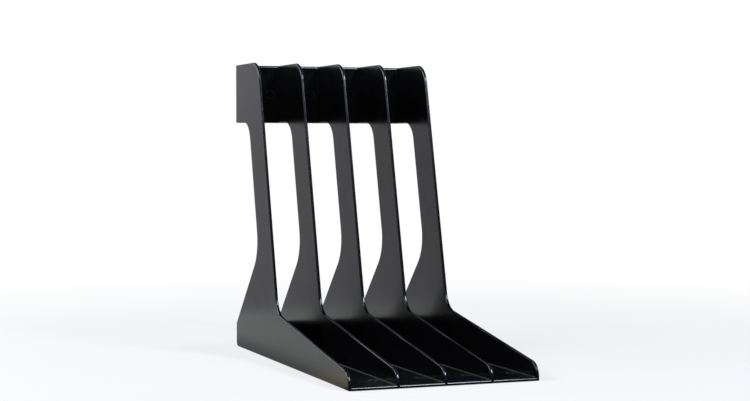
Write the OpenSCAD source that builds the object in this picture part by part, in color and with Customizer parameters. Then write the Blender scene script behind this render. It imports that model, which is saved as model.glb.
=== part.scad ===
// Record storage stand: one end panel and four dividers, each moulded in one
// piece, joined side by side by flush links pressed into their floors and backs.
//
// X runs along the row of dividers, Y from the open front to the back, Z up.
// The origin is at the middle of the underside.

/* [Overall] */
// Height of the fins
height = 288.5; // [250:0.5:320]
// Depth from the toe of a fin to the back
depth = 337; // [320:1:360]
// Distance from one fin to the next
pitch = 44; // [36:0.5:70]

/* [Walls] */
// Thickness of a fin
fin_t = 3; // [2.4:0.1:5]
// Thickness of a floor
floor_t = 3; // [2.6:0.1:5]
// Thickness of an upper back
back_t = 3; // [2.6:0.1:5]
// Thickness of the low upstand behind a floor
upstand_t = 3; // [2:0.1:5]
// Radius of the fillet where a floor or a back runs into its fin
root_r = 0.9; // [0.5:0.1:2]
// Radius along the front of a floor and the long edges of a back
lip_r = 2; // [0.5:0.1:2]

/* [Side outline] */
// Height of the upper back, and of the head of a fin beside it
head_h = 59; // [50:1:75]
// Height of the upstand, where the flare of a fin begins
upstand_h = 24; // [18:1:40]
// Height of the toe at its tip
tip_h = 15; // [10:0.5:20]
// Height of the toe where it runs into the neck
throat_h = 46.5; // [35:0.5:60]
// Distance from the back to the foot of the neck
throat_in = 137; // [125:1:155]
// Width of the neck, measured level from its front edge to its back edge
neck_w = 46; // [36:1:55]
// Lean of the neck towards the back
neck_lean = 14; // [8:0.5:16]
// Slope of the flare below the neck, from level
flare_slope = 45; // [38:1:52]

/* [Corner radii] */
// Nose of the toe
nose_r = 14; // [8:0.5:16]
// Hollow between the toe and the neck
throat_r = 22; // [10:1:40]
// Front corner of the head
brow_r = 22; // [8:1:30]
// Hollow under the head
nape_r = 22; // [10:1:30]
// Hollow at the waist, between the neck and the flare
waist_r = 36; // [15:1:45]
// Corner at the foot of the flare
flare_r = 5; // [2:0.5:8]
// Bend between a floor and its upstand, outside
heel_r = 5; // [4:0.5:8]
// Corners at the back of the head
head_r = 1.5; // [1.4:0.1:4]
// Small corners on top of the upstand and at the back of an upper back
edge_r = 0.8; // [0.3:0.1:0.9]
// Rounding of a fin's edges, all the way round on both of its faces
rim_r = 1.3; // [0.4:0.1:1.4]

/* [Links] */
// Thickness of a link, which its floor or back gives up to it
link_t = 1.5; // [1:0.1:1.8]
// Width of a link
link_w = 16; // [13:0.5:20]
// Diameter of a link's stud, flush with the inside of a floor or back
stud_d = 10; // [6:0.5:11]
// Distance of a stud from the face of its fin
stud_in = 8; // [7:0.5:12]
// Distance of the front floor links from the front
front_link_y = 35; // [20:1:80]
// Distance of the rear floor links from the back
rear_link_in = 60; // [30:1:100]
// Play round a link and its studs
link_play = 0.1; // [0.05:0.05:0.3]

/* [Hidden] */
bays = 4;
$fn = 96;

width = bays * pitch + fin_t;
bay_w = pitch - fin_t;
head_z = height - head_h;
bend_r = heel_r - min(floor_t, upstand_t);
// The two roundings of a fin's edge leave a narrow flat between them
rim_flat = 0.2;
rim = min(rim_r, (fin_t - rim_flat) / 2);
// The rounding of a lip leaves as narrow a flat before the small corner behind it
lip = min(lip_r, back_t - edge_r - rim_flat);
rear_link_y = depth - rear_link_in;
back_link_z = height - head_h / 2;
// How far cutters and fillets run past the faces that they meet
lap = 1;
// How far an arc passes an edge that it blends into, so that the two cross at a
// clear angle of about a degree
blend = 0.005;

// Where the front and back edges of the neck are at the height z
function neck_front(z) = depth - throat_in + (z - throat_h) * tan(neck_lean);
function neck_back(z) = neck_front(z) + neck_w;
// The flare rises from the top of the upstand and meets the neck at the waist
waist_z = (depth + upstand_h / tan(flare_slope) - neck_back(0))
    / (tan(neck_lean) + 1 / tan(flare_slope));

// Side outlines as corners [y, z, radius], going round from the front corner
FIN = [
    [0, 0, 0],
    [0, tip_h, nose_r],
    [neck_front(throat_h), throat_h, throat_r],
    [neck_front(height), height, brow_r],
    [depth, height, head_r],
    [depth, head_z, head_r],
    [neck_back(head_z), head_z, nape_r],
    [neck_back(waist_z), waist_z, waist_r],
    [depth, upstand_h, flare_r],
    [depth, 0, heel_r]
];
FLOOR = [
    [0, 0, 0],
    [0, floor_t, lip],
    [depth - upstand_t, floor_t, bend_r],
    [depth - upstand_t, upstand_h, edge_r],
    [depth, upstand_h, edge_r],
    [depth, 0, heel_r]
];
BACK = [
    [depth - back_t, head_z, lip],
    [depth - back_t, height, lip],
    [depth, height, edge_r],
    [depth, head_z, edge_r]
];

function unit(v) = v / norm(v);
// The corners of an outline as places, to the nearest thousandth
function places(corners) = [for (c = corners) [round(c.x * 1000), round(c.y * 1000)] / 1000];
// The directions from each place to the one before it and to the one after it
function backs(at) = [for (i = [0 : len(at) - 1]) unit(at[(i + len(at) - 1) % len(at)] - at[i])];
function ons(at) = [for (i = [0 : len(at) - 1]) unit(at[(i + 1) % len(at)] - at[i])];
// For a corner whose edges leave it along a and b: half the angle between them,
// whether it is hollow, and the middle of the arc that rounds it
function half_angle(a, b) = acos(a * b) / 2;
function is_hollow(a, b) = cross(a, b) < 0;
function arc_middle(a, b, r) = unit(a + b) * r / sin(half_angle(a, b));

// The sliver between a corner at 0 and the arc that rounds it. It runs on past
// the corner's edges by deep, to cut or to fuse cleanly.
module sliver(a, b, r, deep) {
    mid = unit(a + b);
    half = half_angle(a, b);
    run = r / tan(half);
    difference() {
        polygon([
            a * run, arc_middle(a, b, r), b * run,
            b * run + (b * cos(half) - mid) / sin(half) * deep,
            -mid * deep / sin(half),
            a * run + (a * cos(half) - mid) / sin(half) * deep
        ]);
        translate(arc_middle(a, b, r)) circle(r + blend);
    }
}

// A closed outline, clockwise, with each corner rounded by its own radius. The
// corners that stand out lose a sliver, and the hollow ones gain one if filled.
module rounded(corners, filled = true) {
    at = places(corners);
    a = backs(at);
    b = ons(at);
    module slivers(hollow) {
        for (i = [0 : len(at) - 1])
            if (corners[i][2] > 0 && is_hollow(a[i], b[i]) == hollow)
                translate(at[i]) sliver(a[i], b[i], corners[i][2], lap);
    }
    difference() {
        union() {
            polygon(at);
            if (filled) slivers(hollow = true);
        }
        slivers(hollow = false);
    }
}

// Profile of what an edge loses when it is rounded. The solid lies to the left
// of x = 0 and above y = 0, which are the outline and the flat face.
module rim_loss() {
    difference() {
        translate([-rim, -lap]) square(rim + lap);
        translate([-rim, rim]) circle(rim + blend);
    }
}

// Puts what is drawn for the face at z = 0 on both faces of a fin
module on_both_faces() {
    children();
    translate([0, 0, fin_t]) mirror([0, 0, 1]) children();
}

// A plate as thick as a fin, with its edges rounded all the way round
module soft_plate(corners) {
    at = places(corners);
    a = backs(at);
    b = ons(at);
    last = len(at) - 1;
    function r(i) = corners[i][2];
    function turn(i) = 180 - 2 * half_angle(a[i], b[i]);

    // along the straight edge after corner i, on past a corner that stands out
    module straight_loss(i) {
        next = (i + 1) % len(at);
        from = is_hollow(a[i], b[i]) ? 0 : -lap;
        to = norm(at[next] - at[i]) + (is_hollow(a[next], b[next]) ? 0 : lap);
        translate(at[i]) rotate(atan2(b[i].y, b[i].x))
            translate([from, 0, 0]) rotate([90, 0, 90]) linear_extrude(to - from) rim_loss();
    }
    // round the arc of a corner i that stands out
    module arc_loss(i) {
        if (r(i) > 0 && !is_hollow(a[i], b[i]))
            translate(at[i] + arc_middle(a[i], b[i], r(i)))
                rotate(atan2(a[i].y, a[i].x) - 90 - turn(i))
                    rotate_extrude(angle = turn(i))
                        translate([r(i) + blend, 0]) rim_loss();
    }
    // the plate with the first edges cut, one at a time so that each is clean
    module cut(i) {
        if (i < 0) linear_extrude(fin_t) rounded(corners, filled = false);
        else difference() {
            difference() {
                cut(i - 1);
                on_both_faces() straight_loss(i);
            }
            on_both_faces() arc_loss(i);
        }
    }
    cut(last);

    // a hollow corner, filled by a sliver that is rounded by itself
    for (i = [0 : last])
        if (is_hollow(a[i], b[i])) translate(at[i]) difference() {
            linear_extrude(fin_t) sliver(a[i], b[i], r(i), rim + lap);
            translate(arc_middle(a[i], b[i], r(i))) on_both_faces()
                rotate_extrude() translate([r(i) + blend, 0]) mirror([1, 0]) rim_loss();
        }
}

// Stands up what is drawn as a side view, with its thickness along X
module upright() {
    translate([0, -depth / 2, 0]) rotate([90, 0, 90]) children();
}

module fin() {
    upright() soft_plate(FIN);
}

// Profile of the fillet between a fin's left face, at x = 0, and a flat piece
// below it, at y = 0
module root_profile() {
    difference() {
        translate([-root_r, -lap]) square([root_r + lap, root_r + lap]);
        translate([-root_r, root_r]) circle(root_r + blend);
    }
}

// Fillets between the fin at x = 0 and the floor, upstand and back at its left
module root_fillets() {
    // along the floor
    translate([0, depth / 2 - upstand_t, floor_t]) rotate([90, 0, 0])
        linear_extrude(depth - upstand_t - lip) root_profile();
    // up the upstand
    translate([0, depth / 2 - upstand_t, floor_t]) mirror([0, 1, 0])
        linear_extrude(upstand_h - floor_t - edge_r) root_profile();
    // up the back
    translate([0, depth / 2 - back_t, head_z + lip]) mirror([0, 1, 0])
        linear_extrude(head_h - 2 * lip) root_profile();
}

// A link's outline along X: from a stud at x = 0 to its square or round end
module link_outline(l, round_end, grow = 0) {
    r = link_w / 2 + grow;
    circle(r);
    translate([0, -r]) square([l, 2 * r]);
    if (round_end) translate([l, 0]) circle(r);
}

// Puts what is drawn flat on z = 0, facing up, into the front floor, the rear
// floor and the upper back
module at_front() {
    translate([0, front_link_y - depth / 2, 0]) children();
}
module at_rear() {
    translate([0, rear_link_y - depth / 2, 0]) children();
}
module at_back() {
    translate([0, depth / 2, back_link_z]) rotate([90, 0, 0]) children();
}

// Seats for links: the pocket in the outside face and the hole for the stud.
// The stud is at x = 0 and the pocket runs off to the right, or to the left.
module seat(l, t) {
    translate([0, 0, -lap]) linear_extrude(link_t + lap)
        link_outline(l + lap, false, link_play);
    cylinder(h = t + lap, d = stud_d + 2 * link_play);
}
module seats(t) {
    translate([stud_in, 0, 0]) mirror([1, 0, 0]) seat(stud_in, t);
    translate([bay_w - stud_in, 0, 0]) seat(stud_in + fin_t, t);
}

// One moulding: a fin, with the floor, upstand and upper back of the bay on its
// left. The left ends of these meet the fin before it.
module divider(n) {
    color("#1d1d20") translate([(n - 1) * pitch + fin_t - width / 2, 0, 0])
        difference() {
            union() {
                translate([bay_w, 0, 0]) {
                    fin();
                    root_fillets();
                }
                // both end inside the fin
                upright() linear_extrude(pitch - fin_t / 2) {
                    rounded(FLOOR);
                    rounded(BACK);
                }
            }
            at_front() seats(floor_t);
            at_rear() seats(floor_t);
            at_back() seats(back_t);
        }
}

// A link's body at its stud: half the wall deep, with the stud up to the inside
module link(l, round_end, t) {
    linear_extrude(link_t) link_outline(l, round_end);
    cylinder(h = t, d = stud_d);
    if (round_end) translate([l, 0, 0]) cylinder(h = t, d = stud_d);
}

// A tongue of the end panel, from inside its fin to a stud in the first bay
module tongue(t) {
    translate([fin_t + stud_in, 0, 0]) mirror([1, 0, 0])
        link(stud_in + fin_t / 2, false, t);
}

module end_panel() {
    color("#1d1d20") translate([-width / 2, 0, 0]) {
        fin();
        at_front() tongue(floor_t);
        at_rear() tongue(floor_t);
        at_back() tongue(back_t);
    }
}

// The link through the fin of divider n, from its stud to the one in the next
// bay. After the last divider it ends flush with the fin and rounded as it is.
module joint(n, t) {
    color("#202024") translate([n * pitch - stud_in - width / 2, 0, 0])
        if (n < bays) link(2 * stud_in + fin_t, true, t);
        else difference() {
            link(stud_in + fin_t, false, t);
            translate([stud_in + fin_t, 0, 0]) rotate([90, 0, 0])
                linear_extrude(link_w + 2 * lap, center = true) rim_loss();
        }
}

end_panel();
divider(1);  // divider_1
divider(2);  // divider_2
divider(3);  // divider_3
divider(4);  // divider_4
at_front() joint(1, floor_t);  // front_link_1
at_front() joint(2, floor_t);  // front_link_2
at_front() joint(3, floor_t);  // front_link_3
at_front() joint(4, floor_t);  // front_end_link
at_rear() joint(1, floor_t);  // rear_link_1
at_rear() joint(2, floor_t);  // rear_link_2
at_rear() joint(3, floor_t);  // rear_link_3
at_rear() joint(4, floor_t);  // rear_end_link
at_back() joint(1, back_t);  // back_link_1
at_back() joint(2, back_t);  // back_link_2
at_back() joint(3, back_t);  // back_link_3
at_back() joint(4, back_t);  // back_end_link
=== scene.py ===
"""The record storage stand's looks: satin black plastic, stud faces, soft studio light, camera."""

import math

import bmesh
import bpy
from mathutils import Matrix, Vector


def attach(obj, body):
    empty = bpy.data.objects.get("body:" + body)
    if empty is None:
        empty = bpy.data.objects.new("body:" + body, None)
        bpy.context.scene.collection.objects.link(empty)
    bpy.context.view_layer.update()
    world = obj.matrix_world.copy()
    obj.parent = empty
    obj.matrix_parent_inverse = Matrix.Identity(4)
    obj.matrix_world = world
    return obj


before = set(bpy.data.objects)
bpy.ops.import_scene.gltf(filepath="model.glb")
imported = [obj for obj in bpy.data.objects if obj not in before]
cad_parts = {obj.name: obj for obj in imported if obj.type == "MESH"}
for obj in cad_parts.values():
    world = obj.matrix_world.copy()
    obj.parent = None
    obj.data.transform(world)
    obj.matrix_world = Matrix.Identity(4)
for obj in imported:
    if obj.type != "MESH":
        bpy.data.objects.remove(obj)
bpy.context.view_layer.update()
scene = bpy.context.scene

MM = 0.001
WHITE, BLACK = (1, 1, 1, 1), (0, 0, 0, 1)

# Sizes of the part, in metres, as the CAD model has them.
FIN_PITCH, FIRST_FIN_X = 0.044, -0.088
FIN_X = [FIRST_FIN_X + FIN_PITCH * k for k in range(5)]
FLOOR_TOP = 0.003  # the floors' upper faces
BACK_FRONT = 0.1655  # the upper backs' front faces
STUD_OFF = 0.0095  # from the middle of a fin to the studs beside it
STUD_FRONT_Y, STUD_REAR_Y, STUD_BACK_Z = -0.1335, 0.1085, 0.259
MARK_OFF, MARK_Z = 0.010, 0.277  # a witness mark, left of its fin and over the stud

# Profiles of the turned pieces: radius, and height over the face that they lie in, in mm.
STUD_PROFILE = (
    (0, 0.03), (1.6, 0.03), (2.7, 0.03), (3.5, 0.05), (3.8, 0.12), (4.05, 0.22),
    (4.35, 0.27), (4.62, 0.22), (4.85, 0.08), (4.95, -0.05), (4.9, -0.30), (0, -0.30))
MARK_PROFILE = (
    (0, 0.02), (0.4, 0.03), (0.65, 0.10), (0.9, 0.16),
    (1.15, 0.10), (1.25, -0.05), (1.25, -0.2), (0, -0.2))
STUD_TURNS, MARK_TURNS = 48, 32
BEAD_RADIUS = 0.0043  # the bead of the stud's profile, in metres

# Camera: the place, turn and lens that were fitted to the photograph's straight edges.
CAMERA_AT = (-0.56184, -1.46461, 0.20784)
YAW, PITCH_UP, ROLL = math.radians(20.949), math.radians(-1.959), math.radians(0.022)
FOCAL_PX, IMAGE_W_PX, SENSOR_MM = 1648.79, 750, 36
CLIP = (0.05, 50)

# The plastic's noises: scale per metre, detail, and roughness where it isn't 0.5.
WAVES, CLOUDS, WORN_SPOTS, LINES = (19.0, 1.5), (55.0, 4.0, 0.6), (160.0, 4.0, 0.7), (1.0, 2.0)
GRAIN_DETAIL = (3.0, 0.6)  # without the scale, which goes by the material
# Scuffs: how LINES is stretched, and from which level to which its peaks turn into scuffs.
FLOOR_LINES, FLOOR_CUT = {"Scale": (2400.0, 9.0, 2400.0)}, (0.64, 0.74)
SIDE_LINES, SIDE_CUT = {"Scale": (900.0, 14.0, 1500.0), "Rotation": (0.09, 0.0, 0.0)}, (0.68, 0.78)
SIDE_SHARE = 0.5  # scuffs of the fins' faces against those of the floors
LOOKS_THAT_WAY = (0.80, 0.98)  # the normal's part along an axis where a face starts to count
SCUFF_PATCHES = (0.42, 0.70)  # the clouds that have scuffs
SCUFF_SHOWS, SCUFF_ROUGHENS, SCUFF_DEEP = 0.35, 0.12, 0.00001
# Burnished edges, and on a turned piece a lighter ring round its bead that is a painted highlight
# as well as burnish: where they are, and how much of them is rubbed, spot by spot.
SHARP_EDGE = (0.52, 0.60)  # Pointiness
OFF_BEAD = (0.0001, 0.0006)  # metres from the bead of a turned piece
WORN_SHARE = (0.35, 0.75, 0.25, 1.0)
WEAR_SHOWS, WEAR_POLISHES = 0.7, 0.03
CLOUDS_MIDDLE = (0.25, 0.75)  # over this the roughness goes from its lowest to its highest
WAVE_DEEP = 0.00006  # metres, as all depths here

# The studio's patches: the direction of the middle, and the cosines of the angle from it at
# which the patch starts and is full.
RIGHT_CARD = ((0.857, 0.10, 0.505), 0.60, 0.95)
LEFT_CARD = ((-0.78, -0.48, 0.40), 0.60, 0.95)
RIGHT_GROUND = ((0.95, 0.30, 0.0), 0.20, 0.60)
FRONT_GROUND = ((-0.75, -0.66, 0.0), 0.60, 0.90)
BACK_SWEEP = ((-0.42, 0.91, 0.0), 0.88, 0.96)
BACK_CARD = ((-0.12, 0.935, 0.33), 0.951, 0.978)
EDGE_LIGHT = ((-0.70, 0.71, 0.05), 0.955, 0.985)
# Heights in it, as the direction's Z: where the ground ends, the sweep's foot, and its top.
GROUND_ENDS, SWEEP_FOOT, SWEEP_TOP = (0.0, 0.05), (-0.01, 0.05), (0.16, 0.28)
SWEEP_LEFT, SWEEP_LEFT_DARK = (-0.322, -0.300), 0.22  # the direction's X, and how dark it gets

# The floor, in metres. Near the stand it glows by place: a colour, then where along Y it gives
# way to the colours behind it, from the back to the front.
FLOOR_HALF, FLOOR_DROP, FLOOR_MOTTLE = 6, 0.0002, (14.0, 5.0)
GLOW_BACK = (0.54, 0.54, 0.515, 1)
GLOW_STEPS = (
    ((0.52, 0.52, 0.487, 1), (0.0, 0.17)),
    ((0.88, 0.77, 0.53, 1), (-0.11, 0.0)),
    ((0.03, 0.03, 0.03, 1), (-0.165, -0.13)),
)
GLOW_SHARE = (-0.165, -0.03, 0.95, 0.8)  # along Y, and the glow's share against the lit sheet
SHADE_LEFT, SHADE_RIGHT = (-0.1390, -0.0895), (-0.0885, -0.080)  # beside the first fin, along X
SHADE_BACK, SHADE_DARK = (0.22, 0.34), 0.58  # its end along Y, and how dark it is
GLOW_ENDS = (0.52, 0.58)  # from the origin, where the studio takes over
RUNS_OUT = (0.25, 1.1, 0.72, 1.0)  # from the origin, and the share of white that the camera sees


def add(tree, kind, sockets=None, **props):
    """A node with its properties and inputs set; an input given as a socket is linked."""
    made = tree.nodes.new(kind)
    for name, value in props.items():
        setattr(made, name, value)
    for name, value in (sockets or {}).items():
        if isinstance(value, bpy.types.NodeSocket):
            tree.links.new(value, made.inputs[name])
        else:
            made.inputs[name].default_value = value
    return made


def math_node(tree, operation, *values, clamp=False):
    """The value that a Math node gives."""
    made = add(tree, "ShaderNodeMath", dict(enumerate(values)),
               operation=operation, use_clamp=clamp)
    return made.outputs[0]


def vector_node(tree, operation, output, *values):
    """What a Vector Math node gives, at the output that the operation uses."""
    made = add(tree, "ShaderNodeVectorMath", dict(enumerate(values)), operation=operation)
    return made.outputs[output]


def product(tree, first, *others):
    """Values multiplied in their order."""
    for other in others:
        first = math_node(tree, "MULTIPLY", first, other)
    return first


def spread(tree, value, low, high, to_low=0.0, to_high=1.0):
    """value from low..high to to_low..to_high, eased and held at the ends."""
    made = add(tree, "ShaderNodeMapRange",
               {"Value": value, "From Min": low, "From Max": high,
                "To Min": to_low, "To Max": to_high},
               interpolation_type="SMOOTHSTEP", clamp=True)
    return made.outputs["Result"]


def fall(tree, value, low, high, top=1.0):
    """top up to low, 0 from high on, eased between them."""
    return spread(tree, value, low, high, top, 0.0)


def noise(tree, vector, scale, detail, rough=0.5):
    """Noise round 0.5."""
    made = add(tree, "ShaderNodeTexNoise",
               {"Vector": vector, "Scale": scale, "Detail": detail, "Roughness": rough})
    return made.outputs["Fac"]


def blend_colours(tree, factor, first, second):
    """The first colour where factor is 0, the second where it is 1."""
    # A colour Mix node has inputs of the same names for other types, so these go by number.
    return add(tree, "ShaderNodeMix", {0: factor, 6: first, 7: second}, data_type="RGBA").outputs[2]


def blend_shaders(tree, factor, first, second):
    """The first shader where factor is 0, the second where it is 1."""
    return add(tree, "ShaderNodeMixShader", {0: factor, 1: first, 2: second}).outputs[0]


def emission(tree, colour, strength=1.0):
    """A surface that gives off light, where a strength of 1 is white."""
    made = add(tree, "ShaderNodeEmission", {"Color": colour, "Strength": strength})
    return made.outputs[0]


def emptied(owner):
    """The node tree of a material or world, without its first nodes."""
    owner.use_nodes = True
    owner.node_tree.nodes.clear()
    return owner.node_tree


def set_camera():
    """The fitted camera."""
    forward = Vector((math.sin(YAW) * math.cos(PITCH_UP), math.cos(YAW) * math.cos(PITCH_UP),
                      math.sin(PITCH_UP)))
    level_right = Vector((math.cos(YAW), -math.sin(YAW), 0))
    level_up = level_right.cross(forward)
    right = level_right * math.cos(ROLL) + level_up * math.sin(ROLL)
    up = level_up * math.cos(ROLL) - level_right * math.sin(ROLL)
    data = bpy.data.cameras.new("camera")
    data.sensor_fit = "HORIZONTAL"
    data.sensor_width = SENSOR_MM
    data.lens = FOCAL_PX / IMAGE_W_PX * SENSOR_MM
    data.clip_start, data.clip_end = CLIP
    camera = bpy.data.objects.new("camera", data)
    scene.collection.objects.link(camera)
    turn = Matrix((right, up, -forward)).transposed().to_4x4()
    camera.matrix_world = Matrix.Translation(CAMERA_AT) @ turn
    scene.camera = camera


def plastic(name, dark, light, worn_and_highlight, rough, grain_scale, grain_deep, bead=None):
    """Moulded plastic: slow waves of the face, a fine spark-eroded grain, scuffs where sleeves
    slide, burnished edges. rough is its lowest and highest roughness. A turned piece gets instead
    a lighter ring round its bead, which is given as the radius: painted highlight as well as
    burnish.
    worn_and_highlight is the colour of the scuffs, the worn edges and that ring."""
    mat = bpy.data.materials.get(name) or bpy.data.materials.new(name)
    tree = emptied(mat)
    where = add(tree, "ShaderNodeTexCoord").outputs["Object"]
    surface = add(tree, "ShaderNodeNewGeometry").outputs
    facing = add(tree, "ShaderNodeSeparateXYZ", {0: surface["Normal"]}).outputs

    waves = noise(tree, where, *WAVES)
    clouds = noise(tree, where, *CLOUDS)
    grain = noise(tree, where, grain_scale, *GRAIN_DETAIL)

    def lines(stretch, cut):
        """Thin lines that run the way in which stretch has the smallest scale."""
        along = add(tree, "ShaderNodeMapping", {"Vector": where, **stretch}).outputs["Vector"]
        return spread(tree, noise(tree, along, *LINES), *cut)

    floorward = spread(tree, facing["Z"], *LOOKS_THAT_WAY)
    sideward = spread(tree, math_node(tree, "ABSOLUTE", facing["X"]), *LOOKS_THAT_WAY)
    on_floors = product(tree, lines(FLOOR_LINES, FLOOR_CUT), floorward)
    on_sides = product(tree, lines(SIDE_LINES, SIDE_CUT), product(tree, sideward, SIDE_SHARE))
    scuffs = product(tree, math_node(tree, "ADD", on_floors, on_sides),
                     spread(tree, clouds, *SCUFF_PATCHES))

    # On a turned piece the mask is a ring round its bead; the lighter colour there is a painted
    # highlight as well as burnish.
    if bead:
        flat = vector_node(tree, "MULTIPLY", "Vector", where, (1.0, 1.0, 0.0))
        radius = vector_node(tree, "LENGTH", "Value", flat)
        off_bead = math_node(tree, "ABSOLUTE", math_node(tree, "SUBTRACT", radius, bead))
        edge = fall(tree, off_bead, *OFF_BEAD)
    else:
        edge = spread(tree, surface["Pointiness"], *SHARP_EDGE)
    wear_and_ring_highlight = product(tree, edge, spread(tree, noise(tree, where, *WORN_SPOTS), *WORN_SHARE))

    base = blend_colours(tree, clouds, dark, light)
    base = blend_colours(tree, product(tree, scuffs, SCUFF_SHOWS), base, worn_and_highlight)
    # Edges lighter with wear; on a turned piece, the ring round its bead: painted highlight as well
    # as burnish.
    base = blend_colours(tree, product(tree, wear_and_ring_highlight, WEAR_SHOWS), base, worn_and_highlight)

    roughness = spread(tree, clouds, *CLOUDS_MIDDLE, *rough)
    roughness = math_node(tree, "ADD", roughness, product(tree, scuffs, SCUFF_ROUGHENS))
    roughness = math_node(tree, "SUBTRACT", roughness, product(tree, wear_and_ring_highlight, WEAR_POLISHES))

    bump = add(tree, "ShaderNodeBump", {"Strength": 1.0, "Distance": WAVE_DEEP, "Height": waves})
    bump = add(tree, "ShaderNodeBump", {"Strength": 1.0, "Distance": grain_deep, "Height": grain,
                                        "Normal": bump.outputs[0]})
    bump = add(tree, "ShaderNodeBump", {"Strength": 0.6, "Distance": SCUFF_DEEP, "Height": scuffs,
                                        "Normal": bump.outputs[0]}, invert=True)
    shader = add(tree, "ShaderNodeBsdfPrincipled", {"Base Color": base, "Roughness": roughness,
                                                    "IOR": 1.5, "Normal": bump.outputs[0]})
    add(tree, "ShaderNodeOutputMaterial", {"Surface": shader.outputs[0]})
    return mat


def turned(name, profile, turns, material):
    """A closed turned piece from (radius, height) points in mm, its axis along +Z, standing at
    the origin."""
    mesh = bpy.data.meshes.new(name)
    bm = bmesh.new()
    rings = []
    for radius, height in [(r * MM, h * MM) for r, h in profile]:
        angles = [2 * math.pi * k / turns for k in range(turns if radius else 1)]
        rings.append([bm.verts.new((radius * math.cos(angle), radius * math.sin(angle), height))
                      for angle in angles])
    for low, high in zip(rings, rings[1:]):
        for k in range(turns):
            after = (k + 1) % turns
            corners = [low[k % len(low)], low[after % len(low)],
                       high[after % len(high)], high[k % len(high)]]
            unique = list(dict.fromkeys(corners))
            if len(unique) > 2:
                bm.faces.new(unique)
    bmesh.ops.recalc_face_normals(bm, faces=bm.faces)
    for face in bm.faces:
        face.smooth = True
    bm.to_mesh(mesh)
    bm.free()
    mesh.materials.append(material)
    return mesh


def place(mesh, name, at, facing):
    """One of the turned pieces, its axis along facing, riding on the stand."""
    piece = bpy.data.objects.new(name, mesh)
    scene.collection.objects.link(piece)
    turn = Vector(facing).to_track_quat("Z", "Y").to_matrix().to_4x4()
    piece.matrix_world = Matrix.Translation(at) @ turn
    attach(piece, "root")


def studio(tree, towards):
    """What the studio shows in a direction, to everything but the camera. Each patch is laid
    over the ones before it."""
    parts = add(tree, "ShaderNodeSeparateXYZ", {0: towards}).outputs
    aside, level = parts["X"], parts["Z"]

    def patch(middle, start, full):
        """1 round a direction, 0 away from it."""
        cosine = vector_node(tree, "DOT_PRODUCT", "Value", towards, middle)
        return spread(tree, cosine, start, full)

    # Two cards, high up, that light the rims and the lips.
    cards = math_node(tree, "ADD", patch(*RIGHT_CARD), patch(*LEFT_CARD), clamp=True)
    shown = blend_colours(tree, cards, (0.005, 0.008, 0.013, 1), (0.23, 0.29, 0.38, 1))
    # The ground, pale at the right and dim at the front left.
    ground = fall(tree, level, *GROUND_ENDS)
    right_ground = product(tree, patch(*RIGHT_GROUND), ground)
    shown = blend_colours(tree, right_ground, shown, (0.50, 0.50, 0.51, 1))
    front_ground = product(tree, patch(*FRONT_GROUND), ground)
    shown = blend_colours(tree, front_ground, shown, (0.22, 0.22, 0.22, 1))
    # The pale sweep at the back left, which the fins' left faces mirror.
    sweep = product(tree, patch(*BACK_SWEEP), fall(tree, level, *SWEEP_TOP))
    pale = blend_colours(tree, spread(tree, level, *SWEEP_FOOT),
                         (0.395, 0.395, 0.415, 1), (0.51, 0.51, 0.55, 1))
    pale = blend_colours(tree, fall(tree, aside, *SWEEP_LEFT, SWEEP_LEFT_DARK), pale, BLACK)
    shown = blend_colours(tree, sweep, shown, pale)
    # A card behind for the front lips, and the small bright one for the fins' left-hand rims.
    shown = blend_colours(tree, patch(*BACK_CARD), shown, (0.45, 0.45, 0.48, 1))
    return blend_colours(tree, patch(*EDGE_LIGHT), shown, (1.7, 1.75, 1.9, 1))


def floor_shader(tree):
    """To the camera, a pale sheet that keeps the stand's shadow and runs out to white. To
    everything else, the ground as the photograph's reflections show it: a glow by place near
    the stand, and the studio further out."""
    spot = add(tree, "ShaderNodeTexCoord").outputs["Object"]
    parts = add(tree, "ShaderNodeSeparateXYZ", {0: spot}).outputs
    across, deep = parts["X"], parts["Y"]
    away = vector_node(tree, "LENGTH", "Value", spot)
    outward = vector_node(tree, "NORMALIZE", "Vector", spot)

    mottled = blend_colours(tree, noise(tree, spot, *FLOOR_MOTTLE),
                            (0.82, 0.81, 0.78, 1), (0.86, 0.85, 0.82, 1))
    lit = add(tree, "ShaderNodeBsdfDiffuse", {"Color": mottled}).outputs[0]
    seen = blend_shaders(tree, spread(tree, away, *RUNS_OUT), lit, emission(tree, WHITE))

    colour = GLOW_BACK
    for before, where in GLOW_STEPS:
        colour = blend_colours(tree, spread(tree, deep, *where), before, colour)
    # The strip in the shade of the first fin.
    shade = product(tree, spread(tree, across, *SHADE_LEFT), fall(tree, across, *SHADE_RIGHT),
                    fall(tree, deep, *SHADE_BACK))
    strength = math_node(tree, "SUBTRACT", 1.0, product(tree, shade, SHADE_DARK))
    glow = emission(tree, colour, strength)
    mirrored = blend_shaders(tree, spread(tree, deep, *GLOW_SHARE), lit, glow)
    far = emission(tree, studio(tree, outward))
    mirrored = blend_shaders(tree, spread(tree, away, *GLOW_ENDS), mirrored, far)

    by_camera = add(tree, "ShaderNodeLightPath").outputs["Is Camera Ray"]
    return blend_shaders(tree, by_camera, mirrored, seen)


def softbox(name, at, target, along, size, level, colour):
    """A rectangular lamp that shines at target. size is its width and its length, with the
    length as near to along as that allows. Its brightness goes by level, whatever its size."""
    data = bpy.data.lights.new(name, "AREA")
    data.shape = "RECTANGLE"
    data.size, data.size_y = size
    data.energy = level * math.pi * size[0] * size[1]
    data.color = colour
    box = bpy.data.objects.new(name, data)
    scene.collection.objects.link(box)
    back = (Vector(at) - Vector(target)).normalized()
    length_way = (Vector(along) - back * back.dot(Vector(along))).normalized()
    width_way = length_way.cross(back)
    turn = Matrix((width_way, length_way, back)).transposed().to_4x4()
    box.matrix_world = Matrix.Translation(at) @ turn
    box.visible_camera = False


set_camera()

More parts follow.
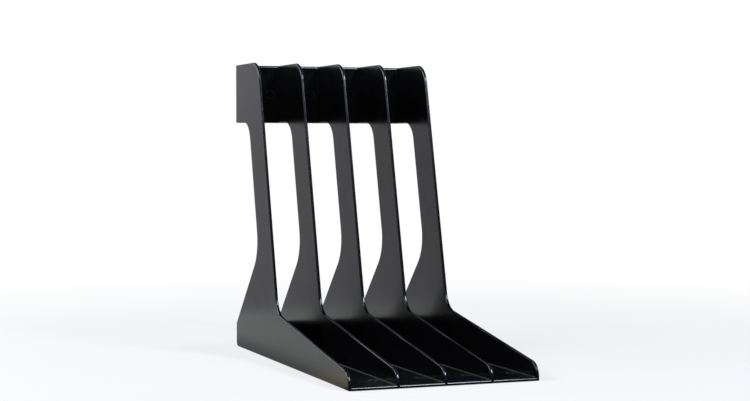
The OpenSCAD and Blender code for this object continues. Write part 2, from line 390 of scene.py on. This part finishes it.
moulding = plastic(
    "moulding", dark=(0.0015, 0.0015, 0.0018, 1), light=(0.0026, 0.0026, 0.0030, 1),
    worn_and_highlight=(0.012, 0.012, 0.013, 1), rough=(0.15, 0.21), grain_scale=2600.0, grain_deep=0.0000020)
link = plastic(
    "link", dark=(0.0020, 0.0020, 0.0023, 1), light=(0.0034, 0.0034, 0.0039, 1),
    worn_and_highlight=(0.014, 0.014, 0.015, 1), rough=(0.20, 0.28), grain_scale=1900.0, grain_deep=0.0000030)
# The stud's worn colour is far lighter than the moulding's: the ring round its bead is a painted
# highlight as well as burnish.
stud = plastic(
    "stud", dark=(0.0012, 0.0012, 0.0014, 1), light=(0.0020, 0.0020, 0.0023, 1),
    worn_and_highlight=(0.110, 0.113, 0.126, 1), rough=(0.22, 0.30), grain_scale=1900.0, grain_deep=0.0000030,
    bead=BEAD_RADIUS)

for node_name, node_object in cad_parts.items():
    node_object.data.materials.clear()
    node_object.data.materials.append(link if "link" in node_name else moulding)

# The round faces of the links' studs, flush in the floors and the upper backs: a rounded rim
# round a shallow dish. The outer sides of the first and the last fin have none.
stud_mesh = turned("stud_face", STUD_PROFILE, STUD_TURNS, stud)
LAST = len(FIN_X) - 1
for k, fin_x in enumerate(FIN_X):
    for side, tag in ((-1, "left"), (1, "right")):
        if (k, side) in ((0, -1), (LAST, 1)):
            continue
        x = fin_x + side * STUD_OFF
        for row, at, facing in (("front", (x, STUD_FRONT_Y, FLOOR_TOP), (0, 0, 1)),
                                ("rear", (x, STUD_REAR_Y, FLOOR_TOP), (0, 0, 1)),
                                ("back", (x, BACK_FRONT, STUD_BACK_Z), (0, -1, 0))):
            place(stud_mesh, f"stud_face_{row}_{k + 1}_{tag}", at, facing)

# The small round witness mark of the mould above each upper back's right-hand stud.
mark_mesh = turned("witness_mark", MARK_PROFILE, MARK_TURNS, moulding)
for k, fin_x in list(enumerate(FIN_X))[1:]:
    at = (fin_x - MARK_OFF, BACK_FRONT, MARK_Z)
    place(mark_mesh, f"witness_mark_{k}", at, (0, -1, 0))

floor_mesh = bpy.data.meshes.new("floor")
floor_mesh.from_pydata([(FLOOR_HALF * x, FLOOR_HALF * y, 0)
                        for x, y in ((-1, -1), (1, -1), (1, 1), (-1, 1))], [], [(0, 1, 2, 3)])
floor = bpy.data.objects.new("floor", floor_mesh)
floor.location.z = -FLOOR_DROP
scene.collection.objects.link(floor)
floor_mat = bpy.data.materials.new("floor")
floor_tree = emptied(floor_mat)
add(floor_tree, "ShaderNodeOutputMaterial", {"Surface": floor_shader(floor_tree)})
floor_mesh.materials.append(floor_mat)

# World: white to the camera, the studio to everything else.
world = bpy.data.worlds.new("studio")
scene.world = world
world_tree = emptied(world)
by_camera = add(world_tree, "ShaderNodeLightPath").outputs["Is Camera Ray"]
towards = add(world_tree, "ShaderNodeTexCoord").outputs["Generated"]
seen = blend_colours(world_tree, by_camera, studio(world_tree, towards), WHITE)
shine = add(world_tree, "ShaderNodeBackground", {"Color": seen, "Strength": 1.0}).outputs[0]
add(world_tree, "ShaderNodeOutputWorld", {"Surface": shine})

softbox("front_strip", at=(0.673, -1.135, 1.367), target=(0.0, 0.0, 0.0),
        along=(0.0, 0.769, 0.639), size=(0.36, 0.60), level=30.0, colour=(0.82, 0.87, 1.0))
softbox("left_box", at=(-1.34, 0.24, 1.12), target=(0.0, 0.0, 0.1),
        along=(0, 0, 1), size=(1.70, 0.80), level=6.3, colour=(0.80, 0.86, 1.0))
softbox("back_box", at=(-0.98, 1.68, 0.88), target=(0.0, 0.0, 0.05),
        along=(0, 0, 1), size=(0.50, 0.60), level=3.0, colour=(0.84, 0.88, 1.0))

scene.view_settings.view_transform = "Standard"
